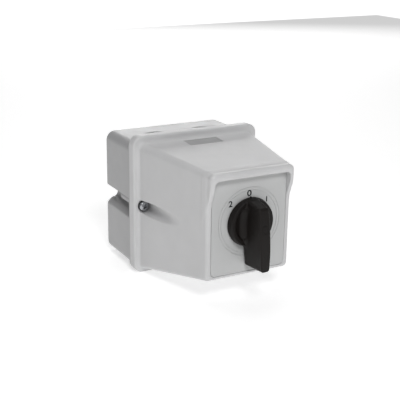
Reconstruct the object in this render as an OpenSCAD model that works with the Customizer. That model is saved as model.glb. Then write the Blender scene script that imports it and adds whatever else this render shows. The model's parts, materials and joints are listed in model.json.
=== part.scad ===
// Enclosed three-position cam switch (2 - 0 - 1) for surface mounting.
// +Z is up, the front faces -Y, and the origin is the centre of the wall face.

/* [Enclosure] */
// Width of the joint flange
face_width = 110; // [108:1:116]
// Top of the joint flange, above centre
face_top = 55.2; // [54:0.2:58]
// Bottom of the joint flange, below centre
face_drop = 56; // [55:0.2:58]
// Outer corner radius of the joint flange
face_corner = 7.5; // [6:0.5:9]
// Width of the rear box
base_width = 107; // [106:0.5:108]
// Top of the rear box, above centre
base_top = 48.4; // [47.6:0.2:49]
// Bottom of the rear box, below centre
base_drop = 52.3; // [51.5:0.1:53]
// Depth of the rear box, wall to joint
base_depth = 49; // [45:1:60]
// Depth of the cover, joint to front panel
cover_depth = 88; // [86:1:96]
// Thickness of the cover's flange
cover_flange = 8; // [6:0.5:10]
// Thickness of the rear box's rim
base_rim = 3; // [2.5:0.5:6]
// Top of the rim, above centre
rim_top = 53.2; // [52.8:0.2:55]
// How far the rim is set in from the flange at each side
rim_inset = 0.5; // [0.3:0.1:0.8]
// Wall thickness of both mouldings
wall = 3; // [2.5:0.1:3.2]

/* [Cover taper] */
// Width of the cover where it leaves the flange
foot_width = 100.8; // [99:0.2:102]
// Top of the cover where it leaves the flange, above centre
foot_top = 49.8; // [49:0.2:51]
// Bottom of the cover where it leaves the flange, below centre
foot_drop = 52.2; // [51:0.2:52.4]
// Width of the front panel
panel_width = 70.5; // [69:0.5:74]
// Top of the front panel, above centre
panel_top = 44.5; // [43:0.5:46]
// Bottom of the front panel, below centre
panel_drop = 36.8; // [36:0.2:38]
// Thickness of the front panel
panel_thick = 3.5; // [3.5:0.1:4]

/* [Weather hood] */
// How far the hood stands out from the panel
hood_out = 5.3; // [4:0.1:6]
// Thickness of the hood's top bar
hood_bar = 5.3; // [4:0.1:6]
// Thickness of the hood's side wings
hood_wing = 3.75; // [3.5:0.05:4]
// Height at which the side wings start
wing_start = 19.5; // [17:0.5:22]
// Height at which the side wings reach their full depth
wing_full = 34; // [30:0.5:36]

/* [Cover screws] */
// Distance of each cover screw from the centre line
screw_x = 47; // [46.5:0.1:47.5]
// Radius of the screwdriver channel in the cover's side
channel_r = 5.4; // [5:0.1:5.8]
// Depth of the notch in the rear box's side
notch_depth = 9.5; // [8:0.1:10]
// Top of the notch, above centre
notch_top = 3; // [2.5:0.1:4]
// Bottom of the notch, below centre
notch_drop = 8; // [7:0.1:9]

/* [Cable entries and wall fixing] */
// Diameter of a knockout for an M20 gland
entry_d = 20.5; // [20.3:0.1:20.9]
// Spacing of the two knockouts in one side
entry_spacing = 42; // [40:1:46]
// Distance of the knockouts from the wall
entry_y = 30; // [26:1:32]
// Depth of a knockout's recess, down to the thin web
entry_sink = 2.2; // [1.4:0.1:2.2]
// Depth of the full-width mouth of the recess
entry_mouth = 0.9; // [0.6:0.1:0.9]
// Diameter of a wall screw hole
fixing_d = 4.5; // [4.2:0.1:5]
// Horizontal spacing of the wall screw holes
fixing_x = 84; // [80:1:86]
// Vertical spacing of the wall screw holes
fixing_z = 76; // [70:1:78]

/* [Knob] */
// Height of the knob's axis above the flange's centre
knob_z = 4.4; // [4:0.2:6]
// Diameter of the knob's disc at the panel
knob_d = 37.6; // [37:0.2:40]
// Diameter of the disc's front rim
knob_rim_d = 35; // [34:0.2:36]
// Front of the disc's rim, from the panel
knob_rim_out = 5.3; // [5:0.1:6]
// Gap between the knob and the panel
knob_gap = 0.6; // [0.4:0.1:0.8]
// Length of the lever below the axis
lever_length = 33.1; // [31:0.1:35]
// Front of the lever's tip, from the panel
lever_out = 24; // [23:0.2:25]
// Turn from 0 to either marked position, in degrees
turn_step = 45;

/* [Switch stack] */
// Width and height of the switch body
stack_size = 50; // [50:1:52]
// Depth of one contact chamber
chamber_depth = 13;
// Mean radius of a cam
cam_r = 8.5;
// Contact travel for one switching step
contact_travel = 1.5;
// Radial lift of a detent plunger over a star tip
click_lift = 1.2;

/* [Hidden] */
$fn = 64;
LEFT = -1;
RIGHT = 1;

shell_grey = [0.80, 0.80, 0.81];
base_grey = [0.72, 0.72, 0.73];
plate_grey = [0.78, 0.78, 0.78];
black = [0.13, 0.12, 0.12];
rubber = [0.16, 0.16, 0.17];
zinc = [0.72, 0.73, 0.75];
brass = [0.80, 0.66, 0.36];
copper = [0.80, 0.50, 0.34];
cream = [0.86, 0.82, 0.70];
switch_grey = [0.36, 0.37, 0.39];
green = [0.30, 0.52, 0.36];

// Clearances
slip = 0.05;
step = 0.1;
over = 1;

// Stations along Y
joint_y = -base_depth;
rim_back_y = joint_y + base_rim;
flange_y = joint_y - cover_flange;
panel_y = joint_y - cover_depth;
seat_y = panel_y + 1.2;
panel_back_y = panel_y + panel_thick;

// Panel and hood
panel_h = panel_top + panel_drop;
panel_mid = (panel_top - panel_drop) / 2;
panel_corner = 3.5;
foot_corner = 5;
plate_w = panel_width - 2 * hood_wing;
plate_top = panel_top - hood_bar;
plate_bottom = -panel_drop + 2.5;
plate_h = plate_top - plate_bottom;
plate_mid = (plate_top + plate_bottom) / 2;
plate_thick = 1;
top_slope = atan((foot_top - panel_top) / (panel_y - flange_y) * -1);

base_h = base_top + base_drop;
base_mid = (base_top - base_drop) / 2;
base_corner = 6.5;
notch_corner = 3.5;
rim_wall = 5;
entry_ledge = 0.35;

// Gasket: a ring that steps inward round each cover screw
groove_depth = 1.8;
tongue_depth = 0.8;
ring_half_x = 52.6;
ring_half_z = 50.8;
ring_corner = 5.5;
ring_jog_r = 11.3;
groove_w = 2.2;

// Screws
m4_r = 1.97;
m4_clear_r = 2.2;
insert_r = 2.8;
insert_length = 8;
boss_r = 4.4;
boss_back_y = -24;
head_r = 3.9;
head_h = 2.7;
washer_h = 0.8;

// Badge
badge_w = 29;
badge_h = 12;
badge_sink = 0.9;
badge_thick = 0.7;
badge_y = flange_y - 10.7;

// Shaft
journal_r = 5;
bore_r = journal_r + slip;
shaft_sq = 7;
tip_sq = 5;
journal_front_y = panel_y - 1.5;
tip_front_y = panel_y - 13;
cap_screw_y = panel_y - 17;
tail_r = 3.4;
bush_r = 8;
bush_flange_r = 11;
seal_wire = 0.74;
seal_y = seat_y + 0.85;

// Latch
housing_y = panel_back_y;
housing_depth = 13;
housing_back_y = housing_y + housing_depth;
latch_floor_y = housing_y + 4;
latch_plate_thick = 2;
stack_y = housing_back_y + latch_plate_thick;
star_tip_r = 11;
star_steps = 8;
star_thick = 7;
star_y = latch_floor_y + 1;
nose_r = 1.6;
plunger_half = 3.2;
pocket_end = 23.7;
plunger_x = star_tip_r + nose_r + step;
plunger_length = 6.5;
spring_seat = 3.5;

// Contact chambers
floor_t = 2;
outer_wall_x = 23.5;
guide_half = 4.2;
carrier_half = 4;
carrier_nose_r = 2;
carrier_x = cam_r + carrier_nose_r + 0.15;
carrier_back = 17.5;
bridge_x = 13.5;
bridge_t = 1.2;
bridge_half_z = 12;
contact_z = 10;
contact_gap = contact_travel + 0.03;
rivet_t = 1;
pad_face_x = bridge_x - rivet_t - contact_gap;
pad_t = 0.37;
strip_t = 1.2;
strip_x = pad_face_x - pad_t - strip_t;
strip_z = 15.8;
terminal_x = 19;
cam_thick = 8;
tie_z = 19;
mount_xz = 18;
stack_end_y = stack_y + 3 * chamber_depth;
rear_plate_thick = 3;
rear_y = stack_end_y + rear_plate_thick;

// Earth terminal
earth_z = -32;
earth_boss_y = -9;
earth_block = [26, 8, 9];
earth_screw_x = 8;
clamp_front_y = earth_boss_y - earth_block[1] - 1.5;

// ---- helpers -------------------------------------------------------------

// Extrudes an X-Z outline from y_back forward to y_front
module slab(y_back, y_front) {
    translate([0, y_back, 0])
        rotate([90, 0, 0])
            linear_extrude(y_back - y_front)
                children();
}

// A round bar along Y
module rod(r, y_back, y_front, x = 0, z = 0) {
    translate([x, y_back, z])
        rotate([90, 0, 0])
            cylinder(r = r, h = y_back - y_front);
}

// A cone along Y, r_back at y_back and r_front at y_front
module cone(r_back, r_front, y_back, y_front, x = 0, z = 0) {
    translate([x, y_back, z])
        rotate([90, 0, 0])
            cylinder(r1 = r_back, r2 = r_front, h = y_back - y_front);
}

// Extrudes a Y-Z outline across X
module across(x_low, x_high) {
    translate([x_low, 0, 0])
        rotate([90, 0, 90])
            linear_extrude(x_high - x_low)
                children();
}

// A rectangle with round corners, centred
module rounded(w, h, r) {
    square([w - 2 * r, h], center = true);
    square([w, h - 2 * r], center = true);
    for (x = [-1, 1])
        for (z = [-1, 1])
            translate([x * (w / 2 - r), z * (h / 2 - r)])
                circle(r);
}

// Discs round both cover screws, for the gasket to step round
module jog_discs(r) {
    for (side = [LEFT, RIGHT])
        translate([side * base_width / 2, 0])
            circle(r);
}

// The notch in each side of the rear box, grown by d
module side_notches(d) {
    for (side = [LEFT, RIGHT])
        translate([side * base_width / 2, (notch_top - notch_drop) / 2])
            rounded(2 * (notch_depth + d), notch_top + notch_drop + 2 * d, notch_corner + d);
}

module face_outline() {
    translate([0, (face_top - face_drop) / 2])
        rounded(face_width, face_top + face_drop, face_corner);
}

// The gasket's centre line, grown or shrunk by d
module ring_area(d) {
    difference() {
        rounded(2 * (ring_half_x + d), 2 * (ring_half_z + d), ring_corner + d);
        jog_discs(ring_jog_r - d);
    }
}

module ring(w) {
    difference() {
        ring_area(w / 2);
        ring_area(-w / 2);
    }
}

// Places children on the knob's axis
module on_axis() {
    translate([0, 0, knob_z])
        children();
}

// Mirrors a right-hand part to the left when side is LEFT
module handed(side) {
    mirror([side == LEFT ? 1 : 0, 0, 0])
        children();
}

// A coil spring along X from x0 to x1
module coil(x0, x1, mean_r, wire_r, turns) {
    sides = 6;
    per_turn = 10;
    rings = turns * per_turn;
    pitch = (x1 - x0 - 2 * wire_r) / rings;
    pts = [
        for (i = [0 : rings])
            for (k = [0 : sides - 1])
                let (a = 360 * i / per_turn, b = 360 * k / sides, r = mean_r + wire_r * cos(b))
                    [x0 + wire_r + pitch * i + wire_r * sin(b), r * cos(a), r * sin(a)]
    ];
    skin = [
        for (i = [0 : rings - 1])
            for (k = [0 : sides - 1])
                let (a = i * sides + k, b = i * sides + (k + 1) % sides)
                    each [[a, a + sides, b + sides], [a, b + sides, b]]
    ];
    first = [for (k = [0 : sides - 1]) k];
    last = [for (k = [sides - 1 : -1 : 0]) rings * sides + k];
    polyhedron(points = pts, faces = concat(skin, [first], [last]), convexity = 8);
}

// ---- enclosure -----------------------------------------------------------

// The room inside the rear box, bottom_wall thick at its bottom
module base_cavity(bottom_wall) {
    cavity_h = base_h - wall - bottom_wall;
    translate([0, base_top - wall - cavity_h / 2])
        rounded(base_width - 2 * wall, cavity_h, 4);
}

module rim_outline() {
    translate([0, (rim_top - face_drop) / 2])
        rounded(face_width - 2 * rim_inset, rim_top + face_drop, face_corner - rim_inset);
}

module base_shell() {
    slab(0, rim_back_y - over)
        difference() {
            translate([0, base_mid])
                rounded(base_width, base_h, base_corner);
            side_notches(0);
        }
    slab(rim_back_y, joint_y)
        rim_outline();
    for (side = [LEFT, RIGHT])
        rod(boss_r, boss_back_y, joint_y, side * screw_x);
}

module earth_boss() {
    rod(4, -wall + over, earth_boss_y, 0, earth_z);
}

module base_box() {
    color(base_grey)
        difference() {
            union() {
                difference() {
                    base_shell();
                    slab(-wall, rim_back_y)
                        difference() {
                            base_cavity(wall);
                            side_notches(wall);
                        }
                    slab(rim_back_y + step, joint_y - over)
                        difference() {
                            base_cavity(rim_wall);
                            jog_discs(ring_jog_r + 3.2);
                        }
                }
                earth_boss();
            }
            slab(joint_y + groove_depth, joint_y - over)
                ring(groove_w);
            for (side = [LEFT, RIGHT])
                rod(insert_r, joint_y + insert_length + 0.5, joint_y - over, side * screw_x);
            for (x = [-1, 1])
                for (z = [-1, 1]) {
                    rod(fixing_d / 2, over, -wall - over, x * fixing_x / 2, z * fixing_z / 2);
                    translate([x * entry_spacing / 2, -entry_y, base_mid + z * base_h / 2]) {
                        cylinder(d = entry_d, h = 2 * entry_mouth, center = true);
                        cylinder(d = entry_d - 2 * entry_ledge, h = 2 * entry_sink, center = true);
                    }
                }
            rod(1.5, earth_boss_y + 5, earth_boss_y - over, 0, earth_z);
        }
}

module foot_outline(inset) {
    z_mid = (foot_top - foot_drop) / 2;
    translate([0, z_mid])
        rounded(foot_width - 2 * inset, foot_top + foot_drop - 2 * inset, foot_corner - inset / 2);
}

module panel_outline(inset) {
    translate([0, panel_mid])
        rounded(panel_width - 2 * inset, panel_h - 2 * inset, panel_corner - inset / 2);
}

module cover_body() {
    hull($fn = 32) {
        slab(flange_y + over, flange_y)
            foot_outline(0);
        slab(panel_y + 0.5, panel_y)
            panel_outline(0);
    }
}

module cover_cavity() {
    difference() {
        hull($fn = 32) {
            slab(joint_y + over, joint_y)
                foot_outline(2);
            slab(panel_back_y + 0.5, panel_back_y)
                panel_outline(wall);
        }
        for (side = [LEFT, RIGHT])
            rod(channel_r + wall, joint_y + 2 * over, panel_y, side * screw_x);
        slab(joint_y + 2 * over, joint_y - 4)
            jog_discs(ring_jog_r + 3.2);
    }
}

// The hood round the top and upper sides of the panel
module hood() {
    intersection() {
        slab(panel_y + over, panel_y - hood_out)
            difference() {
                panel_outline(0);
                translate([0, plate_mid])
                    rounded(plate_w, plate_h, panel_corner);
            }
        across(-panel_width, panel_width)
            polygon([
                [panel_y + over, wing_start],
                [panel_y, wing_start],
                [panel_y - hood_out, wing_full],
                [panel_y - hood_out, foot_top],
                [panel_y + over, foot_top]
            ]);
    }
}

// Places children on the sloping top, at the badge's centre
module on_top_slope() {
    drop = (flange_y - badge_y) * tan(top_slope);
    translate([0, badge_y, foot_top - drop])
        rotate([top_slope, 0, 0])
            children();
}

module cover_hood() {
    color(shell_grey) {
        difference() {
            union() {
                slab(joint_y, flange_y)
                    face_outline();
                cover_body();
                hood();
            }
            cover_cavity();
            for (side = [LEFT, RIGHT]) {
                rod(channel_r, flange_y, panel_y - over, side * screw_x);
                rod(m4_clear_r, joint_y + over, flange_y - over, side * screw_x);
            }
            slab(seat_y, panel_y - over / 2)
                translate([0, plate_mid])
                    rounded(plate_w, plate_h, panel_corner);
            rod(bush_r, panel_back_y + over, panel_y - over, 0, knob_z);
            for (x = [-1, 1])
                for (z = [-1, 1]) {
                    rod(2.1, panel_back_y + over, panel_y - over, x * mount_xz, knob_z + z * mount_xz);
                    cone(2.1, 4.1, seat_y + 2, seat_y, x * mount_xz, knob_z + z * mount_xz);
                }
            on_top_slope()
                translate([0, 0, -badge_sink / 2 + over / 2])
                    cube([badge_w + 2 * step, badge_h + 2 * step, badge_sink + over], center = true);
        }
        slab(joint_y + tongue_depth, joint_y - over / 2)
            ring(1.4);
    }
}

module cover_gasket() {
    color(rubber)
        slab(joint_y + groove_depth, joint_y + tongue_depth)
            ring(groove_w - step);
}

// A pan head with a cross recess, its underside at y_under, facing -Y
module pan_head(r, h, y_under, x, z) {
    slot = r * 0.28;
    difference() {
        union() {
            rod(r, y_under, y_under - h * 0.6, x, z);
            cone(r, r * 0.72, y_under - h * 0.6, y_under - h, x, z);
        }
        translate([x, y_under - h, z]) {
            cube([r * 1.3, h, slot], center = true);
            cube([slot, h, r * 1.3], center = true);
        }
    }
}

module cover_screws() {
    color(zinc)
        for (side = [LEFT, RIGHT]) {
            pan_head(head_r, head_h, flange_y - washer_h, side * screw_x, 0);
            rod(m4_r, joint_y + insert_length - 1, flange_y - washer_h - 0.2, side * screw_x);
        }
}

module cover_screw_washers() {
    color(rubber)
        for (side = [LEFT, RIGHT])
            difference() {
                rod(4.6, flange_y, flange_y - washer_h, side * screw_x);
                rod(m4_clear_r, flange_y + over, flange_y - 2, side * screw_x);
            }
}

module threaded_inserts() {
    color(brass)
        for (side = [LEFT, RIGHT])
            difference() {
                rod(insert_r - 0.02, joint_y + insert_length, joint_y + 0.02, side * screw_x);
                rod(2, joint_y + insert_length + over, joint_y - over, side * screw_x);
            }
}

module groove(r, w) {
    difference() {
        rod(r + w / 2, panel_y + 0.5, panel_y - over);
        rod(r - w / 2, panel_y + 2, panel_y - 2);
    }
}

module legend_plate() {
    color(plate_grey)
        difference() {
            slab(seat_y, seat_y - plate_thick)
                translate([0, plate_mid])
                    rounded(plate_w - 0.3, plate_h - 0.3, panel_corner - 0.15);
            on_axis() {
                rod(7, seat_y + over, panel_y - over);
                groove(26, 0.6);
                groove(23.8, 0.4);
            }
        }
}

module name_badge() {
    color(shell_grey)
        on_top_slope()
            translate([0, 0, -badge_sink + badge_thick / 2])
                difference() {
                    cube([badge_w, badge_h, badge_thick], center = true);
                    translate([0, 0, badge_thick])
                        cube([badge_w - 2, badge_h - 2, badge_thick * 1.6], center = true);
                }
}

module panel_bush() {
    color(black)
        on_axis()
            difference() {
                union() {
                    rod(bush_r - slip, housing_y, seat_y + step);
                    rod(bush_flange_r, housing_y + 1.5, housing_y);
                }
                rod(bore_r, housing_y + 3, seat_y - over);
                rod(6.6, seal_y + 0.8, seat_y - over);
            }
}

module shaft_seal() {
    color(rubber)
        on_axis()
            translate([0, seal_y, 0])
                rotate([90, 0, 0])
                    rotate_extrude()
                        translate([journal_r + seal_wire + 0.08, 0])
                            circle(seal_wire, $fn = 24);
}

module mounting_screws() {
    color(zinc)
        for (x = [-1, 1])
            for (z = [-1, 1])
                difference() {
                    union() {
                        cone(1.87, 3.8, seat_y + 2, seat_y + step, x * mount_xz, knob_z + z * mount_xz);
                        rod(1.87, housing_y + 9, seat_y + 1, x * mount_xz, knob_z + z * mount_xz);
                    }
                    translate([x * mount_xz, seat_y, knob_z + z * mount_xz])
                        cube([6, 1.6, 0.9], center = true);
                }
}

module earth_terminal() {
    color(brass)
        difference() {
            translate([-earth_block[0] / 2, earth_boss_y - earth_block[1], earth_z - earth_block[2] / 2])
                cube(earth_block);
            rod(1.6, 0, -base_depth, 0, earth_z);
            for (side = [LEFT, RIGHT]) {
                rod(2, earth_boss_y - 4, -base_depth, side * earth_screw_x, earth_z);
                translate([side * earth_screw_x, earth_boss_y - 2.8, earth_z])
                    cylinder(r = 1.9, h = 20, center = true);
            }
        }
}

module earth_clamp_screws() {
    color(zinc)
        for (side = [LEFT, RIGHT])
            difference() {
                rod(m4_r, earth_boss_y - 4.8, clamp_front_y, side * earth_screw_x, earth_z);
                translate([side * earth_screw_x, clamp_front_y, earth_z])
                    cube([5, 1.6, 0.8], center = true);
            }
}

module earth_fixing_screw() {
    color(zinc) {
        pan_head(3, 2.2, earth_boss_y - earth_block[1], 0, earth_z);
        rod(1.47, earth_boss_y + 4.5, earth_boss_y - earth_block[1] - 0.2, 0, earth_z);
    }
}

// ---- knob and shaft --------------------------------------------------------

function bezier(a, b, c, t) = (1 - t) * (1 - t) * a + 2 * t * (1 - t) * b + t * t * c;

// Side outline of the blade and lever, as Y-Z points about the knob's axis
module blade_side() {
    crown = [panel_y - 19.6, 15.4];
    belly = [panel_y - 24.2, -8.05];
    tip = [panel_y - lever_out, -lever_length + 1.6];
    polygon(concat(
        [[panel_y - 1.6, knob_rim_d / 2], [panel_y - knob_rim_out, knob_rim_d / 2]],
        [for (t = [0 : 0.1 : 1]) bezier(crown, belly, tip, t)],
        [[panel_y - 1.6, -lever_length]]
    ));
}

// Front outline of the blade and lever: thick at the hub, thin at the ends
module blade_front() {
    polygon([
        [-3.6, knob_rim_d / 2], [-5, 3], [-5, -18], [-3.6, -lever_length],
        [3.6, -lever_length], [5, -18], [5, 3], [3.6, knob_rim_d / 2]
    ]);
}

module knob() {
    disc_back = panel_y - knob_gap;
    disc_front = panel_y - knob_rim_out;
    color(black)
        on_axis()
            difference() {
                union() {
                    difference() {
                        cone(knob_d / 2, knob_rim_d / 2, disc_back, disc_front);
                        rod(knob_rim_d / 2 - 3, disc_front + 2, disc_front - over);
                    }
                    intersection() {
                        across(-6, 6)
                            blade_side();
                        slab(panel_y, panel_y - 2 * lever_out)
                            blade_front();
                    }
                    slab(disc_back, disc_back - 1.4)
                        polygon([[-1.3, knob_d / 2 - 1], [0, knob_d / 2 + 1], [1.3, knob_d / 2 - 1]]);
                }
                slab(panel_y + over, tip_front_y - 0.3)
                    square(tip_sq + step, center = true);
                rod(7, panel_y, journal_front_y - 0.3);
                rod(1.6, panel_y, panel_y - 2 * lever_out);
                rod(2.9, cap_screw_y, panel_y - 2 * lever_out);
            }
}

module knob_cap() {
    color(black)
        on_axis()
            intersection() {
                rod(2.85, cap_screw_y - 2.6, panel_y - 2 * lever_out);
                across(-5, 5)
                    blade_side();
            }
}

module knob_screw() {
    color(zinc)
        on_axis() {
            pan_head(2.7, 2.4, cap_screw_y, 0, 0);
            rod(1.47, panel_y - 8, cap_screw_y - 0.2);
        }
}

module shaft() {
    color(zinc)
        on_axis()
            difference() {
                union() {
                    slab(journal_front_y + over, tip_front_y)
                        square(tip_sq, center = true);
                    rod(journal_r, latch_floor_y + 0.5, journal_front_y);
                    slab(stack_end_y, latch_floor_y)
                        square(shaft_sq, center = true);
                    rod(tail_r, rear_y + 3.3, stack_end_y - over);
                }
                difference() {
                    rod(tail_r + over, rear_y + 1.8, rear_y + 0.9);
                    rod(2.7, rear_y + 3, rear_y);
                }
                rod(1.5, panel_y - 7, tip_front_y - over);
            }
}

module retaining_ring() {
    color(zinc)
        on_axis()
            slab(rear_y + 1.75, rear_y + 0.95)
                difference() {
                    circle(5);
                    circle(2.75);
                    translate([0, -4])
                        square([3, 8], center = true);
                }
}

// ---- latch -----------------------------------------------------------------

module latch_housing() {
    color(switch_grey)
        on_axis()
            difference() {
                slab(housing_back_y, housing_y)
                    rounded(stack_size, stack_size, 3);
                rod(bush_flange_r + 0.2, housing_y + 1.6, housing_y - over);
                rod(bore_r, housing_back_y, housing_y - over);
                rod(14, housing_back_y + over, latch_floor_y);
                slab(housing_back_y + over, latch_floor_y + 1)
                    square([2 * pocket_end, 2 * plunger_half + 0.2], center = true);
                for (z = [-1, 1]) {
                    rod(2, housing_back_y + over, housing_back_y - 9, 0, z * tie_z);
                    for (x = [-1, 1])
                        rod(1.9, housing_y + 9.5, housing_y - over, x * mount_xz, z * mount_xz);
                }
            }
}

module tie_holes() {
    for (z = [-1, 1])
        translate([0, z * tie_z])
            circle(2.1);
}

module latch_plate() {
    color(cream)
        on_axis()
            slab(stack_y, housing_back_y)
                difference() {
                    rounded(stack_size, stack_size, 3);
                    circle(5.6);
                    tie_holes();
                }
}

// A wheel with eight shallow notches, one at each 45 degrees
module star_wheel() {
    wave = click_lift / 2;
    color(cream)
        on_axis()
            slab(star_y + star_thick, star_y)
                difference() {
                    polygon([
                        for (a = [0 : 4 : 356])
                            let (r = star_tip_r - wave - wave * cos(star_steps * a))
                                [r * sin(a), r * cos(a)]
                    ]);
                    square(shaft_sq + step, center = true);
                }
}

module detent_plunger(side) {
    body_y = latch_floor_y + 1.3;
    color(cream)
        on_axis()
            handed(side)
                difference() {
                    union() {
                        translate([plunger_x + 1, body_y, -plunger_half])
                            cube([plunger_length - 1, 6.4, 2 * plunger_half]);
                        translate([plunger_x, body_y, -nose_r])
                            cube([2, 6.4, 2 * nose_r]);
                        rod(nose_r, body_y + 6.4, body_y, plunger_x);
                    }
                    translate([plunger_x + plunger_length - spring_seat, body_y + 3.2, 0])
                        rotate([0, 90, 0])
                            cylinder(r = 2.5, h = 10);
                }
}

module detent_spring(side) {
    color(zinc)
        handed(side)
            translate([0, latch_floor_y + 4.5, knob_z])
                coil(plunger_x + plunger_length - spring_seat + slip, pocket_end - slip, 1.9, 0.3, 5);
}

// ---- contact chambers --------------------------------------------------------

function chamber_y(i) = stack_y + (i - 1) * chamber_depth;
function contact_y(i) = chamber_y(i) + (chamber_depth + floor_t) / 2;

module chamber_pockets() {
    circle(cam_r + 2.7);
    square([2 * outer_wall_x, 2 * guide_half], center = true);
    for (x = [-1, 1]) {
        translate([x * (strip_x - 0.2 + 16.5) / 2, 0])
            square([16.5 - strip_x + 0.2, 31], center = true);
        for (z = [-1, 1])
            translate([x * (strip_x - 0.2 + 23) / 2, z * 20.8])
                square([23 - strip_x + 0.2, 10.6], center = true);
    }
}

module chamber(i) {
    y = chamber_y(i);
    color(switch_grey)
        on_axis()
            difference() {
                slab(y + chamber_depth, y)
                    difference() {
                        rounded(stack_size, stack_size, 3);
                        tie_holes();
                        circle(5.6);
                    }
                slab(y + chamber_depth + over, y + floor_t)
                    chamber_pockets();
                for (x = [-1, 1])
                    for (z = [-1, 1])
                        translate([x * terminal_x, contact_y(i), z * 13])
                            cylinder(r = 1.6, h = 6, center = true);
            }
}

// Cam radius at an angle from +Z towards +X: a spiral each side, so lift goes with turn
function cam_reach(a) =
    let (rate = contact_travel / turn_step, swing = a < 180 ? a - 90 : 270 - a)
        cam_r + rate * max(-60, min(60, swing));

module cam(i) {
    y = contact_y(i);
    color(green)
        on_axis()
            slab(y + cam_thick / 2, y - cam_thick / 2)
                difference() {
                    polygon([for (a = [0 : 5 : 355]) [cam_reach(a) * sin(a), cam_reach(a) * cos(a)]]);
                    square(shaft_sq + step, center = true);
                }
}

module fixed_contacts(i) {
    y = contact_y(i);
    color(copper)
        on_axis()
            for (side = [LEFT, RIGHT])
                for (up = [0, 1])
                    handed(side)
                        mirror([0, 0, up])
                            difference() {
                                union() {
                                    slab(y + 3, y - 3)
                                        polygon([
                                            [strip_x, 7.5], [strip_x + strip_t, 7.5],
                                            [strip_x + strip_t, strip_z], [22.5, strip_z],
                                            [22.5, strip_z + strip_t], [strip_x, strip_z + strip_t]
                                        ]);
                                    translate([strip_x + strip_t / 2, y, contact_z])
                                        rotate([0, 90, 0])
                                            cylinder(r = 2, h = pad_t + strip_t / 2);
                                }
                                translate([terminal_x, y, strip_z])
                                    cylinder(r = 1.8, h = 6, center = true);
                            }
}

module carrier(side, i) {
    y = contact_y(i);
    width = 7;
    color(cream)
        on_axis()
            handed(side)
                difference() {
                    union() {
                        translate([12.2, y - width / 2, -carrier_half])
                            cube([carrier_back - 12.2, width, 2 * carrier_half]);
                        translate([carrier_x, y - width / 2, -carrier_nose_r])
                            cube([3, width, 2 * carrier_nose_r]);
                        rod(carrier_nose_r, y + width / 2, y - width / 2, carrier_x);
                    }
                    translate([bridge_x - slip, y - 3 - slip, -carrier_half - over])
                        cube([bridge_t + 2 * slip, 6 + 2 * slip, 2 * carrier_half + 2 * over]);
                    translate([15.5, y, 0])
                        rotate([0, 90, 0])
                            cylinder(r = 2.5, h = 10);
                }
}

module bridge(side, i) {
    y = contact_y(i);
    color(copper)
        on_axis()
            handed(side) {
                translate([bridge_x, y - 3, -bridge_half_z])
                    cube([bridge_t, 6, 2 * bridge_half_z]);
                for (z = [-1, 1])
                    translate([bridge_x - rivet_t, y, z * contact_z])
                        rotate([0, 90, 0])
                            cylinder(r = 2, h = rivet_t + bridge_t / 2);
            }
}

module contact_spring(side, i) {
    color(zinc)
        handed(side)
            translate([0, contact_y(i), knob_z])
                coil(15.5 + slip, outer_wall_x - slip, 1.9, 0.3, 5);
}

module terminal_screws() {
    head_z = strip_z + strip_t + slip;
    color(zinc)
        on_axis()
            for (i = [1 : 3])
                for (side = [LEFT, RIGHT])
                    for (up = [0, 1])
                        handed(side)
                            mirror([0, 0, up])
                                translate([terminal_x, contact_y(i), 0])
                                    difference() {
                                        union() {
                                            translate([0, 0, 11])
                                                cylinder(r = 1.55, h = head_z - 10);
                                            translate([0, 0, head_z])
                                                cylinder(r = 3, h = 2.4);
                                        }
                                        translate([0, 0, head_z + 2.4])
                                            cube([7, 0.9, 2], center = true);
                                    }
}

module rear_plate() {
    color(switch_grey)
        on_axis()
            slab(rear_y, stack_end_y)
                difference() {
                    rounded(stack_size, stack_size, 3);
                    circle(tail_r + slip);
                    tie_holes();
                }
}

module tie_screws() {
    color(zinc)
        for (z = [-1, 1])
            difference() {
                union() {
                    rod(m4_r, rear_y + 1, housing_back_y - 8, 0, knob_z + z * tie_z);
                    rod(3.6, rear_y + 2.6, rear_y, 0, knob_z + z * tie_z);
                }
                translate([0, rear_y + 2.6, knob_z + z * tie_z])
                    cube([8, 2, 1], center = true);
            }
}

// ---- nodes -------------------------------------------------------------------

base_box();
cover_hood();
cover_gasket();
cover_screws();
cover_screw_washers();
threaded_inserts();
legend_plate();
name_badge();
panel_bush();
shaft_seal();
mounting_screws();
earth_terminal();
earth_clamp_screws();
earth_fixing_screw();
knob();
knob_cap();
knob_screw();
shaft();
retaining_ring();
latch_housing();
latch_plate();
star_wheel();
detent_plunger(LEFT);  // detent_plunger_left
detent_plunger(RIGHT);  // detent_plunger_right
detent_spring(LEFT);  // detent_spring_left
detent_spring(RIGHT);  // detent_spring_right
chamber(1);  // chamber_1
chamber(2);  // chamber_2
chamber(3);  // chamber_3
cam(1);  // cam_1
cam(2);  // cam_2
cam(3);  // cam_3
fixed_contacts(1);  // fixed_contacts_1
fixed_contacts(2);  // fixed_contacts_2
fixed_contacts(3);  // fixed_contacts_3
carrier(LEFT, 1);  // carrier_left_1
carrier(LEFT, 2);  // carrier_left_2
carrier(LEFT, 3);  // carrier_left_3
carrier(RIGHT, 1);  // carrier_right_1
carrier(RIGHT, 2);  // carrier_right_2
carrier(RIGHT, 3);  // carrier_right_3
bridge(LEFT, 1);  // bridge_left_1
bridge(LEFT, 2);  // bridge_left_2
bridge(LEFT, 3);  // bridge_left_3
bridge(RIGHT, 1);  // bridge_right_1
bridge(RIGHT, 2);  // bridge_right_2
bridge(RIGHT, 3);  // bridge_right_3
contact_spring(LEFT, 1);  // contact_spring_left_1
contact_spring(LEFT, 2);  // contact_spring_left_2
contact_spring(LEFT, 3);  // contact_spring_left_3
contact_spring(RIGHT, 1);  // contact_spring_right_1
contact_spring(RIGHT, 2);  // contact_spring_right_2
contact_spring(RIGHT, 3);  // contact_spring_right_3
terminal_screws();
rear_plate();
tie_screws();
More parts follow.
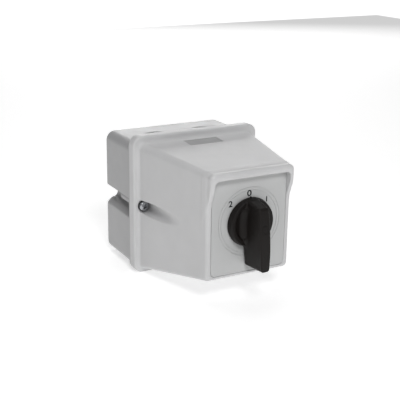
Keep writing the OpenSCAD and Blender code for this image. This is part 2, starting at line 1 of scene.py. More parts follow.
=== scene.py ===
"""Enclosed cam switch with a lever knob and three marked positions, 2 - 0 - 1.

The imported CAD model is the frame. The mouldings that show are built here as smooth
surfaces, in millimetres, from signed distances, and stand for their CAD nodes.
"""
import json
import math

import bpy
import numpy as np
from mathutils import Matrix, Quaternion, Vector


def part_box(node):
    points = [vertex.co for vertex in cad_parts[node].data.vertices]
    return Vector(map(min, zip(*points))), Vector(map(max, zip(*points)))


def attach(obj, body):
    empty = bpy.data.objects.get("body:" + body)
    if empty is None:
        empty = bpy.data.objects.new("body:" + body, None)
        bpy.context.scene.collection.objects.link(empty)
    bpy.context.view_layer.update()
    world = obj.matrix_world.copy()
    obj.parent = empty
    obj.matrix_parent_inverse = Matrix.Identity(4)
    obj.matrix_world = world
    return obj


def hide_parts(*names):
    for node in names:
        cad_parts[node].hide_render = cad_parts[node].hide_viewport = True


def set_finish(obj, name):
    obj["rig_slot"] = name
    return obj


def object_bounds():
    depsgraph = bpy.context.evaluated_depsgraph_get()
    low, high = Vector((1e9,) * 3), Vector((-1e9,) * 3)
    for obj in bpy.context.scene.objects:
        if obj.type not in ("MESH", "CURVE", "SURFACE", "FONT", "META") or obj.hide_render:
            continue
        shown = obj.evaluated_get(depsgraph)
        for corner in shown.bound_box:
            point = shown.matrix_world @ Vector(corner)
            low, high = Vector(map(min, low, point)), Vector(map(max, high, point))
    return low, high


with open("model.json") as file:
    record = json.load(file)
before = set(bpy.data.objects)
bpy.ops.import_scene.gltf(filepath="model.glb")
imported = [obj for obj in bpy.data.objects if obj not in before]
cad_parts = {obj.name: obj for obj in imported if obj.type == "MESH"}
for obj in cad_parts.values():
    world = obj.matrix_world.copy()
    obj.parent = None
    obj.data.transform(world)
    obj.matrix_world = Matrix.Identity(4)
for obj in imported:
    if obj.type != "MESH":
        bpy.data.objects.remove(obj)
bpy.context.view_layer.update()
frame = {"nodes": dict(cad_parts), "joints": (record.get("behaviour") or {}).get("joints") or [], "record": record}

MM = 0.001

# ---- stations and sizes, in millimetres --------------------------------------


def box_mm(node):
    """Lowest and highest corner of a CAD node."""
    low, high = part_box(node)
    return np.array(low) / MM, np.array(high) / MM


knob_joint = next(j for j in frame["joints"] if j["name"] == "knob_turn")
mounts = {m["name"]: m for m in frame["record"]["mounts"]}
base_low, base_high = box_mm("base_box")
cover_low, cover_high = box_mm("cover_hood")
plate_low, plate_high = box_mm("legend_plate")
badge_low, badge_high = box_mm("name_badge")
screw_low, screw_high = box_mm("cover_screws")
washer_low, washer_high = box_mm("cover_screw_washers")

PANEL_Y = knob_joint["pos_m"][1] / MM
KNOB_Z = knob_joint["pos_m"][2] / MM
JOINT_Y = base_low[1]
FLANGE_Y = washer_high[1]
HOOD_Y = cover_low[1]
PLATE_Y = plate_low[1]
SEAT_Y = plate_high[1]
HEAD_Y = washer_low[1]

WALL = 3
FACE_CORNER = 7.5
RIM_INSET = 0.5
BASE_HALF_W = 53.5
BASE_TOP = 48.4
BASE_BOTTOM = -52.3
BASE_RIM = 3
FOOT_HALF_W = 50.4
FOOT_TOP = 49.8
FOOT_BOTTOM = -52.2
PANEL_HALF_W = 35.25
PANEL_TOP = 44.5
PANEL_BOTTOM = -36.8
PANEL_THICK = 3.5
WING_START = 19.5
WING_FULL = 34
SCREW_X = 47
CHANNEL_R = 5.4
JOG_R = 11.3
NOTCH_DEPTH = 9.5
NOTCH_TOP = 3
NOTCH_BOTTOM = -8
WEB_DOWN = 2.2
ENTRY_LEDGE = 0.35
RING_HALF_X = 52.6
RING_HALF_Z = 50.8
RING_CORNER = 5.5
GROOVE_HALF_W = 1.1
GROOVE_DOWN = 1.8
TONGUE_HALF_W = 0.7
TONGUE_DOWN = 0.8
INSERT_R = 2.8
INSERT_DOWN = 8.5
EARTH_Z = -32
PANEL_SCREW_AT = 18
SHAFT_HOLE_R = 8

# ---- signed distances ----------------------------------------------------------


def length(*parts):
    return np.sqrt(sum(p * p for p in parts))


def rectangle(u, v, half_u, half_v, corner):
    """A centred rectangle with round corners."""
    du = np.abs(u) - (half_u - corner)
    dv = np.abs(v) - (half_v - corner)
    return length(np.maximum(du, 0), np.maximum(dv, 0)) + np.minimum(np.maximum(du, dv), 0) - corner


def between(v, low, high):
    return np.maximum(low - v, v - high)


def both(a, b, r=0.0):
    """What lies in a and in b, with the edge rounded to r."""
    return np.minimum(-r, np.maximum(a, b)) + length(np.maximum(a + r, 0), np.maximum(b + r, 0))


def either(a, b, r=0.0):
    """a and b joined, with a fillet of r."""
    return np.maximum(r, np.minimum(a, b)) - length(np.maximum(r - a, 0), np.maximum(r - b, 0))


def without(a, b, r=0.0):
    """a cut by b, with the edge rounded to r."""
    return both(a, -b, r)


def blend_between(v, v0, v1, a, b):
    """a at v0 and b at v1, straight between and constant beyond."""
    t = np.clip((v - v0) / (v1 - v0), 0, 1)
    return a + (b - a) * t


def ease_between(v, v0, v1, a, b):
    """a at v0 and b at v1, with no crease at either."""
    t = np.clip((v - v0) / (v1 - v0), 0, 1)
    return a + (b - a) * t * t * (3 - 2 * t)


def gradient(distance, points, h):
    out = np.empty_like(points)
    for axis in range(3):
        ahead, behind = points.copy(), points.copy()
        ahead[:, axis] += h
        behind[:, axis] -= h
        out[:, axis] = (distance(*ahead.T) - distance(*behind.T)) / (2 * h)
    return out


def surface(distance, low, high, cell):
    """Points and four-sided faces of the surface where distance is 0, one point in each cell it crosses."""
    axes = [np.arange(low[i] - 1.37 * cell, high[i] + 2 * cell, cell) for i in range(3)]
    grid = np.meshgrid(*axes, indexing="ij", sparse=True)
    field = np.empty([len(a) for a in axes], np.float32)
    slab = 24
    for start in range(0, len(axes[0]), slab):
        part = slice(start, start + slab)
        field[part] = distance(grid[0][part], grid[1], grid[2])
    inside = field < 0
    size = np.array(field.shape) - 1
    count = np.zeros(size, np.int8)
    offsets = [(i, j, k) for i in (0, 1) for j in (0, 1) for k in (0, 1)]
    for i, j, k in offsets:
        count += inside[i:size[0] + i, j:size[1] + j, k:size[2] + k]
    cells = np.argwhere((count > 0) & (count < 8))
    number = np.full(size, -1, np.int32)
    number[tuple(cells.T)] = np.arange(len(cells))
    values = np.stack([field[tuple((cells + o).T)] for o in offsets], 1).astype(float)
    total = np.zeros((len(cells), 3))
    crossings = np.zeros(len(cells))
    for a, start in enumerate(offsets):
        for b, end in enumerate(offsets):
            if b <= a or sum(s != e for s, e in zip(start, end)) != 1:
                continue
            va, vb = values[:, a], values[:, b]
            crossed = (va < 0) != (vb < 0)
            t = np.where(crossed, va / np.where(crossed, va - vb, 1), 0)[:, None]
            at = np.array(start) + t * (np.array(end) - np.array(start))
            total += np.where(crossed[:, None], at, 0)
            crossings += crossed
    origin = np.array([a[0] for a in axes])
    points = origin + cell * (cells + total / crossings[:, None])
    for _ in range(3):
        value = distance(*points.T)
        slope = gradient(distance, points, 0.02 * cell)
        step = -value[:, None] * slope / np.maximum((slope ** 2).sum(1), 0.05)[:, None]
        reach = np.maximum(np.linalg.norm(step, axis=1) / (0.6 * cell), 1)
        points = points + step / reach[:, None]
    quads = []
    for axis in range(3):
        u, v = (axis + 1) % 3, (axis + 2) % 3
        here = [slice(None)] * 3
        ahead = [slice(None)] * 3
        here[axis], ahead[axis] = slice(0, -1), slice(1, None)
        first, second = inside[tuple(here)], inside[tuple(ahead)]
        edges = np.argwhere(first != second)
        within = (edges[:, u] > 0) & (edges[:, u] < size[u])
        within &= (edges[:, v] > 0) & (edges[:, v] < size[v])
        edges = edges[within]
        ring = []
        for du, dv in ((1, 1), (0, 1), (0, 0), (1, 0)):
            at = edges.copy()
            at[:, u] -= du
            at[:, v] -= dv
            ring.append(number[tuple(at.T)])
        ring = np.stack(ring, 1)
        leaving = first[tuple(edges.T)]
        quads.append(np.where(leaving[:, None], ring, ring[:, ::-1]))
    return points, np.concatenate(quads)


def smooth_mesh(name, distance, low, high, cell, mirrored=False):
    """The surface as a mesh: flat areas merged into large faces, and normals straight from the distance."""
    points, quads = surface(distance, low, high, cell)
    if mirrored:
        quads = np.concatenate([quads, quads[:, ::-1] + len(points)])
        points = np.concatenate([points, points * (-1, 1, 1)])
    raw = bpy.data.meshes.new(name)
    raw.from_pydata((points * MM).tolist(), [], quads.tolist())
    raw.validate()
    middles = np.empty(len(raw.polygons) * 3)
    raw.polygons.foreach_get("center", middles)
    blocks = np.floor(middles.reshape(-1, 3) / (16 * cell * MM)).astype(int)
    blocks = np.unique(blocks, axis=0, return_inverse=True)[1].ravel()
    raw.polygons.foreach_set("material_index", blocks.tolist())
    holder = bpy.data.objects.new(name, raw)
    bpy.context.scene.collection.objects.link(holder)
    flat = holder.modifiers.new("flat", "DECIMATE")
    flat.decimate_type = "DISSOLVE"
    flat.angle_limit = math.radians(0.15)
    flat.delimit = {"MATERIAL"}
    bpy.context.view_layer.update()
    mesh = bpy.data.meshes.new_from_object(holder.evaluated_get(bpy.context.evaluated_depsgraph_get()))
    bpy.data.objects.remove(holder)
    mesh.name = name
    at = np.empty(len(mesh.vertices) * 3)
    mesh.vertices.foreach_get("co", at)
    normals = gradient(distance, at.reshape(-1, 3) / MM, 0.02 * cell)
    normals /= np.maximum(np.linalg.norm(normals, axis=1), 1e-9)[:, None]
    mesh.polygons.foreach_set("use_smooth", [True] * len(mesh.polygons))
    mesh.polygons.foreach_set("material_index", [0] * len(mesh.polygons))
    mesh.normals_split_custom_set_from_vertices(normals.tolist())
    return mesh


def moulding(name, distance, low, high, cell, body, slot, *stands_for, mirrored=False):
    """A piece with a smooth surface, which rides on a body and stands for CAD nodes."""
    piece = bpy.data.objects.new(name, smooth_mesh(name, distance, low, high, cell, mirrored))
    bpy.context.scene.collection.objects.link(piece)
    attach(piece, body)
    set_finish(piece, slot)
    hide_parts(*stands_for)
    return piece


# ---- enclosure -------------------------------------------------------------------


def at_both_screws(x, z, r, centre_x, centre_z):
    """Round bars along Y, one on each side."""
    return length(np.abs(x) - centre_x, z - centre_z) - r


def joint_outline(x, z, low, high, corner):
    """The outline of a moulding at the joint: the base's rim or the cover's flange."""
    middle = (low[2] + high[2]) / 2
    return rectangle(x, z - middle, high[0], high[2] - middle, corner)


def gasket_line(x, z):
    """The gasket's centre line: a round rectangle that steps inward at the screws."""
    area = rectangle(x, z, RING_HALF_X, RING_HALF_Z, RING_CORNER)
    return np.abs(without(area, at_both_screws(x, z, JOG_R, BASE_HALF_W, 0)))


def side_notches(x, z, grown=0.0):
    """The notch in each side of the base, with a round lower lip."""
    middle, half = (NOTCH_TOP + NOTCH_BOTTOM) / 2, (NOTCH_TOP - NOTCH_BOTTOM) / 2
    slot = rectangle(np.abs(x) - BASE_HALF_W, z - middle, NOTCH_DEPTH + grown, half + grown, 3.5 + grown)
    lip = (BASE_HALF_W - 4.2 - np.abs(x) - (z - NOTCH_BOTTOM + 0.6)) * 0.7071
    return either(slot, both(lip, z - middle, 1.0), 1.6) if grown == 0 else slot


def knockouts(x, y, z):
    """The four blind recesses, from the record's mounts."""
    entries = []
    for name, mount in mounts.items():
        if name.startswith("cable_entry"):
            px, py, pz = (v / MM for v in mount["pos_m"])
            depth = mount["dims"]["length_mm"]
            across = length(x - px, y - py) - mount["dims"]["r_mm"]
            down = abs(pz) - z * np.sign(pz)
            mouth = both(across, down - depth / 2)
            entries.append(np.minimum(mouth, both(across + ENTRY_LEDGE, down + depth / 2 - WEB_DOWN)))
    return np.minimum.reduce(np.broadcast_arrays(*entries))


def base(x, y, z):
    back = JOINT_Y + BASE_RIM
    half_w = blend_between(y, 0, back, BASE_HALF_W - 0.4, BASE_HALF_W)
    top = blend_between(y, 0, back, BASE_TOP - 0.5, BASE_TOP)
    middle = (top + BASE_BOTTOM) / 2
    outline = rectangle(x, z - middle, half_w, top - middle, np.where(z > middle, 7.5, 6.0))
    block = both(without(outline, side_notches(x, z), 0.7), between(y, JOINT_Y, 0), 1.2)
    rim = joint_outline(x, z, base_low, base_high, FACE_CORNER - RIM_INSET)
    rim = both(rim, between(y, JOINT_Y, back), 0.9)
    boss_at = at_both_screws(x, z, 4.4, SCREW_X, 0)
    bosses = both(boss_at, between(y, JOINT_Y + 1, -24), 1.0)
    solid = either(either(block, rim, 1.2), bosses, 1.2)
    in_rim = y < back + 0.1
    low_wall = np.where(in_rim, 5, WALL)
    room_top, room_bottom = BASE_TOP - WALL, BASE_BOTTOM + low_wall
    room = rectangle(x, z - (room_top + room_bottom) / 2, BASE_HALF_W - WALL, (room_top - room_bottom) / 2, 4)
    at_rim = at_both_screws(x, z, JOG_R + 3.2, BASE_HALF_W, 0)
    room = without(room, np.where(in_rim, at_rim, side_notches(x, z, WALL)), 1.0)
    room = both(room, y + WALL, 1.0)
    pillar = both(length(x, z - EARTH_Z) - 4, y + 9, 0.4)
    room = without(room, pillar, 0.5)
    solid = without(solid, room, 0.5)
    solid = without(solid, both(gasket_line(x, z) - GROOVE_HALF_W, y - (JOINT_Y + GROOVE_DOWN)), 0.2)
    solid = without(solid, both(at_both_screws(x, z, INSERT_R, SCREW_X, 0), y - (JOINT_Y + INSERT_DOWN)), 0.2)
    solid = without(solid, both(length(x, z - EARTH_Z) - 1.5, y + 4), 0.2)
    fixing = mounts["wall_screws"]["dims"]
    holes = length(np.abs(x) - fixing["spacing_x_mm"] / 2, np.abs(z) - fixing["spacing_y_mm"] / 2)
    solid = without(solid, both(holes - fixing["hole_r_mm"], -y - 2 * WALL), 0.4)
    return without(solid, knockouts(x, y, z), 0.45)


def cover_outline(x, y, z, inset_foot=0.0, inset_panel=0.0, back=FLANGE_Y, front=PANEL_Y):
    """Cross-section of the tapered cover at each y, straight beyond the panel."""
    half_w = blend_between(y, back, front, FOOT_HALF_W - inset_foot, PANEL_HALF_W - inset_panel)
    top = blend_between(y, back, front, FOOT_TOP - inset_foot, PANEL_TOP - inset_panel)
    bottom = blend_between(y, back, front, FOOT_BOTTOM + inset_foot, PANEL_BOTTOM + inset_panel)
    middle = (top + bottom) / 2
    upper = blend_between(y, back, front, 6, 4.2)
    lower = blend_between(y, back, front, 4, 3.2)
    return rectangle(x, z - middle, half_w, (top - bottom) / 2, np.where(z > middle, upper, lower))


def plate_opening(x, z):
    middle = (plate_low + plate_high) / 2
    half = (plate_high - plate_low) / 2 + 0.15
    return rectangle(x, z - middle[2], half[0], half[2], 3.5)


def hood(x, y, z):
    """The weather hood: a bar over the panel, with a wing down each side."""
    outline = both(cover_outline(x, y, z), HOOD_Y - y, 3.0)
    run, rise = PANEL_Y - HOOD_Y, WING_FULL - WING_START
    underside = (-(y - PANEL_Y) * rise - (z - WING_START) * run) / math.hypot(run, rise)
    outline = both(outline, underside, 1.6)
    outline = both(outline, y - PANEL_Y - 6, 0.0)
    return without(outline, both(plate_opening(x, z), y - PANEL_Y), 0.8)


def badge_pocket(x, y, z):
    """The pocket in the top slope, a little larger than the badge in it."""
    fall = math.atan2(FOOT_TOP - PANEL_TOP, FLANGE_Y - PANEL_Y)
    middle = (badge_low + badge_high) / 2
    along = (y - middle[1]) * math.cos(fall) + (z - middle[2]) * math.sin(fall)
    up = (z - middle[2]) * math.cos(fall) - (y - middle[1]) * math.sin(fall)
    half_x = (badge_high[0] - badge_low[0]) / 2 + 0.1
    half_y = (badge_high[1] - badge_low[1]) / 2 + 0.1
    return both(rectangle(x, along, half_x, half_y, 0.6), -up - 0.35)


def cover(x, y, z):
    outline = joint_outline(x, z, cover_low, cover_high, FACE_CORNER)
    flange = both(outline, between(y, FLANGE_Y, JOINT_Y), 1.6)
    flange = either(flange, both(outline, between(y, JOINT_Y - 3, JOINT_Y), 0.35))
    walls = both(cover_outline(x, y, z), between(y, PANEL_Y, FLANGE_Y + 3), 2.4)
    solid = either(flange, walls, 2.2)
    solid = either(solid, hood(x, y, z), 0.8)
    room = both(cover_outline(x, y, z, 2, WALL, JOINT_Y, PANEL_Y + PANEL_THICK),
                between(y, PANEL_Y + PANEL_THICK, JOINT_Y + 2), 1.0)
    room = without(room, at_both_screws(x, z, CHANNEL_R + WALL, SCREW_X, 0), 1.0)
    room = without(room, both(at_both_screws(x, z, JOG_R + 3.2, BASE_HALF_W, 0), JOINT_Y - 4 - y), 0.5)
    solid = without(solid, room, 0.4)
    channels = both(at_both_screws(x, z, CHANNEL_R, SCREW_X, 0), y - FLANGE_Y, 0.6)
    solid = without(solid, channels, 0.9)
    solid = without(solid, at_both_screws(x, z, 2.2, SCREW_X, 0), 0.2)
    solid = without(solid, both(plate_opening(x, z), y - SEAT_Y), 0.3)
    solid = without(solid, length(x, z - KNOB_Z) - SHAFT_HOLE_R, 0.2)
    screws = length(np.abs(x) - PANEL_SCREW_AT, np.abs(z - KNOB_Z) - PANEL_SCREW_AT)
    solid = without(solid, both(screws - 2.1 - np.maximum(SEAT_Y + 2 - y, 0), y - PANEL_Y - 20), 0.1)
    solid = without(solid, badge_pocket(x, y, z), 0.3)
    tongue = both(gasket_line(x, z) - TONGUE_HALF_W, between(y, JOINT_Y - 0.5, JOINT_Y + TONGUE_DOWN), 0.2)
    return either(solid, tongue)


# ---- knob --------------------------------------------------------------------------

DISC_BACK = 0.6
DISC_FRONT = 5.3
DISC_R = 18.8
RIM_R = 17.5
POCKET_R = 14.4
LEVER = 33.1
CAP_BACK = 19.6
CROWN = (15.4, 19.6)
MIDDLE = (0.0, 22.1)
TIP = (-31.5, 24.0)
blade_front = np.poly1d(np.polyfit(*zip(CROWN, MIDDLE, TIP), 2))


def blade(x, out, up):
    """The grip: a tapered blade across the disc that runs down into the lever."""
    front = (out - blade_front(up)) / math.hypot(1, 0.2)
    top = (up - RIM_R) * (CROWN[1] - DISC_FRONT) + (out - DISC_FRONT) * (RIM_R - CROWN[0])
    top = top / math.hypot(CROWN[1] - DISC_FRONT, RIM_R - CROWN[0])
    bottom = (-LEVER - up) * (TIP[1] - 1.6) + (out - 1.6) * (LEVER + TIP[0])
    bottom = bottom / math.hypot(TIP[1] - 1.6, LEVER + TIP[0])
    root = ease_between(up, -36, -9, 3.5, 5.9) - ease_between(up, 2, 18, 0, 0.9)
    edge = ease_between(up, -38, -14, 3.3, 4.2) - ease_between(up, 2, 18, 0, 0.5)
    half = root + (edge - root) * np.clip((out - 3) / 19, 0, 1)
    sides = both(np.abs(x) - half, bottom, 2.0)
    body = both(both(sides, front, 0.9), top, 1.6)
    return both(body, 1.6 - out, 0.6)


def knob(x, y, z):
    out = PANEL_Y - y
    up = z - KNOB_Z
    r = length(x, up)
    side = r - blend_between(out, DISC_BACK, DISC_FRONT, DISC_R, RIM_R)
    disc = both(side, between(out, DISC_BACK, DISC_FRONT), 0.5)
    bowl = both(r - POCKET_R, 1.9 + 2.2 * (r / POCKET_R) ** 2 - out, 0.8)
    disc = without(disc, bowl, 0.5)
    nib = both(np.abs(x) - (DISC_R + 1 - up) * 0.65, between(out, DISC_BACK, 2.0), 0.25)
    nib = both(nib, between(up, DISC_R - 3, DISC_R + 0.9), 0.2)
    solid = either(disc, blade(x, out, up), ease_between(r, 11, 17, 5.5, 1.0))
    solid = either(solid, nib, 0.3)
    shaft_hole = both(np.maximum(np.abs(x), np.abs(up)) - 2.55, out - 13.3)
    solid = without(solid, shaft_hole, 0.1)
    solid = without(solid, both(r - 7, out - 1.8), 0.2)
    solid = without(solid, r - 1.6, 0.1)
    return without(solid, both(r - 2.93, CAP_BACK - 2.6 - out), 0.05)


def knob_cap(x, y, z):
    out = PANEL_Y - y
    up = z - KNOB_Z
    plug = both(length(x, up) - 2.9, CAP_BACK - out, 0.2)
    return both(plug, out - blade_front(up) + 0.02, 0.06)


# ---- cover screws --------------------------------------------------------------------


def cover_screw(x, y, z):
    """An M4 pan head screw with a cross recess and a rolled thread."""
    across = np.abs(x) - SCREW_X
    out = HEAD_Y - y
    r = length(across, z)
    head = both(r - 3.85, between(out, 0, 2.7), 0.35)
    head = both(head, length(r, out + 4.6) - 7.28, 0.5)
    turn = math.radians(24)
    u = across * math.cos(turn) + z * math.sin(turn)
    v = z * math.cos(turn) - across * math.sin(turn)
    depth = (out - 0.7) * 0.5
    arms = np.minimum(np.maximum(np.abs(u) - 0.55, np.abs(v) - 1.4 - depth),
                      np.maximum(np.abs(v) - 0.55, np.abs(u) - 1.4 - depth))
    arms = np.minimum(arms, r - 0.75 - depth * 0.4)
    head = without(head, both(arms, 0.5 - out), 0.12)
    thread = 0.13 * np.sin(np.arctan2(z, across) + 2 * math.pi * y / 0.7)
    shank = both(r - 1.83 - thread, between(y, HEAD_Y - 0.3, screw_high[1]), 0.3) * 0.6
    return either(head, shank, 0.2)


# ---- materials -----------------------------------------------------------------------


def node_maker(material):
    nodes, links = material.node_tree.nodes, material.node_tree.links

    def add(kind, inputs=(), **settings):
        n = nodes.new(kind)
        for key, value in settings.items():
            setattr(n, key, value)
        for key, value in dict(inputs).items():
            if isinstance(value, bpy.types.NodeSocket):
                links.new(value, n.inputs[key])
            else:
                n.inputs[key].default_value = value
        return n

    return add


def plastic(name, colour, roughness, grain, tone=0.02, grain_scale=1800.0, specular=0.5):
    """Moulded plastic: a fine spark-eroded grain, slight flow clouding and uneven gloss."""
    material = bpy.data.materials.new(name)
    material.use_nodes = True
    add = node_maker(material)
    shader = material.node_tree.nodes["Principled BSDF"]
    link = material.node_tree.links.new
    place = add("ShaderNodeTexCoord").outputs["Object"]
    cloud = add("ShaderNodeTexNoise", {"Vector": place, "Scale": 38.0, "Detail": 3.0, "Roughness": 0.6})
    low = [c * (1 - tone) for c in colour] + [1]
    high = [min(c * (1 + tone), 1) for c in colour] + [1]
    ramp = add("ShaderNodeValToRGB", {"Fac": cloud.outputs["Fac"]})
    ramp.color_ramp.elements[0].position = 0.35
    ramp.color_ramp.elements[0].color = low
    ramp.color_ramp.elements[1].position = 0.65
    ramp.color_ramp.elements[1].color = high
    link(ramp.outputs["Color"], shader.inputs["Base Color"])
    gloss = add("ShaderNodeTexNoise", {"Vector": place, "Scale": 120.0, "Detail": 4.0})
    spread = add("ShaderNodeMapRange", {"Value": gloss.outputs["Fac"], "From Min": 0.3, "From Max": 0.7,
                                        "To Min": roughness - 0.04, "To Max": roughness + 0.05})
    link(spread.outputs["Result"], shader.inputs["Roughness"])
    pits = add("ShaderNodeTexNoise", {"Vector": place, "Scale": grain_scale, "Detail": 2.0,
                                      "Roughness": 0.55})
    bump = add("ShaderNodeBump", {"Height": pits.outputs["Fac"], "Strength": grain, "Distance": 0.00012})
    link(bump.outputs["Normal"], shader.inputs["Normal"])
    shader.inputs["Specular IOR Level"].default_value = specular
    return material


def metal(name, colour, roughness, scratch=0.25, across=(1.0, 1.0, 1.0)):
    """Plated or machined metal with fine tool marks and uneven polish."""
    material = bpy.data.materials.new(name)
    material.use_nodes = True
    add = node_maker(material)
    shader = material.node_tree.nodes["Principled BSDF"]
    link = material.node_tree.links.new
    place = add("ShaderNodeTexCoord").outputs["Object"]
    stretch = add("ShaderNodeMapping", {"Vector": place, "Scale": across})
    marks = add("ShaderNodeTexNoise", {"Vector": stretch.outputs["Vector"], "Scale": 2200.0, "Detail": 3.0})
    patch = add("ShaderNodeTexNoise", {"Vector": place, "Scale": 260.0, "Detail": 3.0})
    tint = add("ShaderNodeValToRGB", {"Fac": patch.outputs["Fac"]})
    tint.color_ramp.elements[0].position = 0.3
    tint.color_ramp.elements[0].color = [c * 0.86 for c in colour] + [1]
    tint.color_ramp.elements[1].position = 0.7
    tint.color_ramp.elements[1].color = list(colour) + [1]
    link(tint.outputs["Color"], shader.inputs["Base Color"])
    spread = add("ShaderNodeMapRange", {"Value": marks.outputs["Fac"], "From Min": 0.3, "From Max": 0.7,
                                        "To Min": roughness * 0.8, "To Max": roughness * 1.25})
    link(spread.outputs["Result"], shader.inputs["Roughness"])
    bump = add("ShaderNodeBump", {"Height": marks.outputs["Fac"], "Strength": scratch, "Distance": 0.00004})
    link(bump.outputs["Normal"], shader.inputs["Normal"])
    shader.inputs["Metallic"].default_value = 1.0
    return material


materials = {
    "grey_moulding": plastic("cover_plastic", (0.60, 0.60, 0.605), 0.42, 0.25),
    # painted shade: the base's grey is set darker than the cover's grey to darken the base's side, and it darkens
    # every part in this slot, its top included
    "grey_base": plastic("base_plastic_painted_shade", (0.40, 0.40, 0.405), 0.36, 0.25),
    "dial_plate": plastic("plate_plastic", (0.52, 0.525, 0.525), 0.40, 0.15, tone=0.01),
    "black_plastic": plastic("black_plastic", (0.007, 0.0052, 0.0045), 0.5, 0.3, tone=0.12, specular=0.24),
    "rubber": plastic("black_rubber", (0.03, 0.03, 0.032), 0.75, 0.5, tone=0.1),
    "switch_moulding": plastic("thermoset", (0.06, 0.065, 0.075), 0.5, 0.4, tone=0.08),
    "natural_nylon": plastic("nylon", (0.62, 0.56, 0.42), 0.42, 0.3, tone=0.04),
    "cam_nylon": plastic("cam_plastic", (0.045, 0.19, 0.08), 0.42, 0.3, tone=0.06),
    "zinc_steel": metal("zinc_plate", (0.44, 0.45, 0.47), 0.34),
    "shaft_steel": metal("turned_steel", (0.56, 0.56, 0.57), 0.3, across=(0.2, 6.0, 0.2)),
    "spring_steel": metal("spring_wire", (0.5, 0.5, 0.52), 0.3),
    "brass": metal("machined_brass", (0.78, 0.58, 0.26), 0.28),
    "contact_copper": metal("contact_copper", (0.80, 0.42, 0.26), 0.3),
}

# ---- pieces ---------------------------------------------------------------------------

pieces = [
    moulding("base_moulding", base, base_low, base_high, 0.62, "enclosure", "grey_base", "base_box"),
    moulding("cover_moulding", cover, cover_low, cover_high, 0.6, "enclosure", "grey_moulding", "cover_hood"),
]
knob_low, knob_high = box_mm("knob")
cap_low, cap_high = box_mm("knob_cap")
pieces += [
    moulding("knob_moulding", knob, knob_low, knob_high, 0.3, "rotor", "black_plastic", "knob"),
    moulding("knob_screw_cap", knob_cap, cap_low, cap_high, 0.15, "rotor", "black_plastic", "knob_cap"),
    moulding("cross_screws", cover_screw, (SCREW_X - 4, *screw_low[1:]), screw_high, 0.13, "enclosure",
             "zinc_steel", "cover_screws", mirrored=True),
]
for piece in pieces:
    piece.data.materials.clear()
    piece.data.materials.append(materials[piece["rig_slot"]])

for part in frame["record"]["subparts"]:
    shown = frame["nodes"][part["node"]]
    shown.data.materials.clear()
    shown.data.materials.append(materials[part["material_slot"]])

# ---- printed numerals -------------------------------------------------------------------


def numeral(text, turn, r, size, wide):
    """A thin printed figure on the dial plate, upright, turn degrees clockwise from the top at radius r."""
    font = bpy.data.curves.new("numeral_" + text, "FONT")
    font.body = text
    font.size = size * MM
    font.offset = 0.13 * MM
    font.align_x = "CENTER"
    font.align_y = "CENTER"
    font.extrude = 0.03 * MM
    figure = bpy.data.objects.new("numeral_" + text, font)
    bpy.context.scene.collection.objects.link(figure)
    x, z = r * math.sin(math.radians(turn)), KNOB_Z + r * math.cos(math.radians(turn))
    place = Matrix.Translation(Vector((x, PLATE_Y, z)) * MM) @ Matrix.Rotation(math.pi / 2, 4, "X")
    figure.matrix_world = place @ Matrix.Diagonal((wide, 1, 1, 1))
    bpy.context.view_layer.update()
    mesh = bpy.data.meshes.new_from_object(figure.evaluated_get(bpy.context.evaluated_depsgraph_get()))
    mesh.transform(figure.matrix_world)
    bpy.data.objects.remove(figure)
    printed = bpy.data.objects.new("numeral_" + text, mesh)
    bpy.context.scene.collection.objects.link(printed)
    mesh.materials.clear()
    mesh.materials.append(ink)
    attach(printed, "enclosure")
    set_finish(printed, "black_plastic")
    return printed


ink = plastic("black_ink", (0.008, 0.008, 0.009), 0.6, 0.1, tone=0.1, specular=0.2)
numeral("2", -46.5, 21.9, 6.4, 1.05)
numeral("0", -1, 21.3, 6.2, 1.3)
numeral("1", 44.5, 20.9, 5.6, 1.1)

# ---- floor, light and camera -----------------------------------------------------------


def aimed(obj, place, target, roll=0.0):
    """Puts a light or the camera at place, looking at target."""
    look = (target - place).normalized()
    turn = look.to_track_quat("-Z", "Y") @ Quaternion((0, 0, 1), roll)
    obj.matrix_world = Matrix.Translation(place) @ turn.to_matrix().to_4x4()
    bpy.context.scene.collection.objects.link(obj)


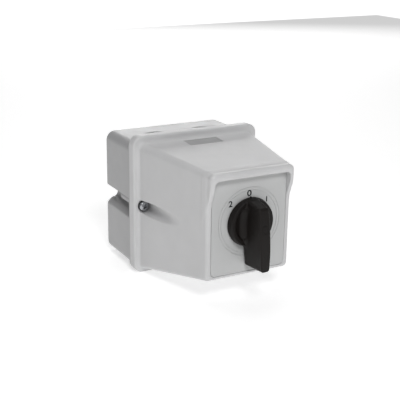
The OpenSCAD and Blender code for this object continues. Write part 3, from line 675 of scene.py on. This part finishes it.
def area_light(name, place, target, width, height, power):
    light = bpy.data.lights.new(name, "AREA")
    light.shape = "RECTANGLE"
    light.size = width
    light.size_y = height
    light.energy = power
    aimed(bpy.data.objects.new(name, light), Vector(place), target)


low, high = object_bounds()
centre = (Vector(low) + Vector(high)) / 2


def floor_sheet(name, reach, level, glow):
    """A square of white floor that glows a little, so that it reads white out to its edge."""
    mesh = bpy.data.meshes.new(name)
    mesh.from_pydata([(-reach, -reach, level), (reach, -reach, level), (reach, reach, level),
                      (-reach, reach, level)], [], [(0, 1, 2, 3)])
    sheet = bpy.data.objects.new(name, mesh)
    bpy.context.scene.collection.objects.link(sheet)
    paper = plastic(name + "_white", (0.78, 0.78, 0.78), 0.7, 0.02, tone=0.002)
    paper.node_tree.nodes["Principled BSDF"].inputs["Emission Color"].default_value = (1, 1, 1, 1)
    paper.node_tree.nodes["Principled BSDF"].inputs["Emission Strength"].default_value = glow
    mesh.materials.append(paper)


floor_sheet("floor", 1.4, low[2], 0.5)
floor_sheet("far_floor", 30.0, low[2] - 0.0005, 1.0)

world = bpy.data.worlds.new("studio")
bpy.context.scene.world = world
world.use_nodes = True
world.node_tree.nodes["Background"].inputs["Color"].default_value = (1, 1, 1, 1)
world.node_tree.nodes["Background"].inputs["Strength"].default_value = 0.1

area_light("overhead", (0.0, 0.2, 1.2), centre, 1.0, 0.9, 5.5)
area_light("front", (-0.28, -1.0, 0.85), centre, 0.4, 0.35, 7.4)
area_light("behind", (0.75, 1.35, 0.42), centre, 1.2, 0.3, 5.0)

camera_data = bpy.data.cameras.new("camera")
camera_data.lens = 79.85
camera_data.sensor_width = 36.0
camera = bpy.data.objects.new("camera", camera_data)
azimuth, elevation, distance_mm = math.radians(29.18), math.radians(17.83), 724.94
target = Vector((8.05, -49.0, -5.82)) * MM
level = math.cos(elevation)
view = Vector((math.sin(azimuth) * level, math.cos(azimuth) * level, -math.sin(elevation)))
aimed(camera, target - view * distance_mm * MM, target, math.radians(0.8))
bpy.context.scene.camera = camera
bpy.context.scene.view_settings.view_transform = "Standard"
